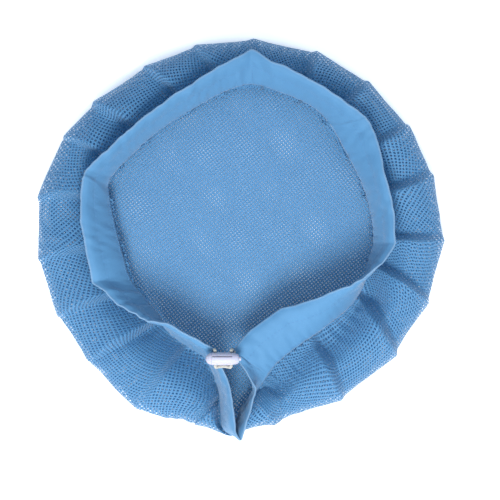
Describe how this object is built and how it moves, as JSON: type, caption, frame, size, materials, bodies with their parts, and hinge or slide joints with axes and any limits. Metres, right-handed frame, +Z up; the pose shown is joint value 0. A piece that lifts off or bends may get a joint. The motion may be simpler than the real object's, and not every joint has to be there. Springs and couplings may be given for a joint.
{
  "type": "mesh laundry bag",
  "caption": "Round drawstring mesh laundry bag lying open, with a gathered woven band and a spring cord lock.",
  "frame": {"origin": "middle of the bag's outline, on the surface that its flat bottom lies on", "axes": "+Z up out of the open mouth, -Y towards the cord lock at the front, +X to the right"},
  "size_m": [0.2996, 0.296, 0.0415],
  "materials": {
    "net": "knitted polyester net",
    "band_cloth": "plain woven polyester",
    "thread": "sewing thread",
    "cord": "braided cord",
    "lock_plastic": "moulded, satin gloss",
    "plunger_plastic": "moulded, satin gloss",
    "spring_steel": "drawn wire"
  },
  "bodies": {
    "bag": {"mesh_bottom": "net", "mesh_rim": "net", "mesh_top": "net", "mouth_band": "band_cloth", "casing_stitching": "thread", "seam_stitching": "thread", "band_join_stitching": "thread", "buttonhole_binding_left": "thread", "buttonhole_binding_right": "thread", "drawcord": "cord", "cord_run_left": "cord", "cord_run_right": "cord"},
    "lock": {"lock_body": "lock_plastic", "lock_end_cap": "lock_plastic", "cord_loop": "cord", "lock_spring": "spring_steel"},
    "plunger": {"lock_plunger": "plunger_plastic"}
  },
  "joints": [
    {"name": "lock_pull", "type": "slide", "parent": "bag", "child": "lock", "axis": [0, -1, 0], "range_m": [0, 0.03], "deforming": ["cord_run_left", "cord_run_right"]},
    {"name": "plunger_press", "type": "slide", "parent": "lock", "child": "plunger", "axis": [-1, 0, 0], "range_m": [0, 0.0018], "stiffness_N_per_m": 900, "springref_m": -0.001, "deforming": ["lock_spring"]}
  ]
}
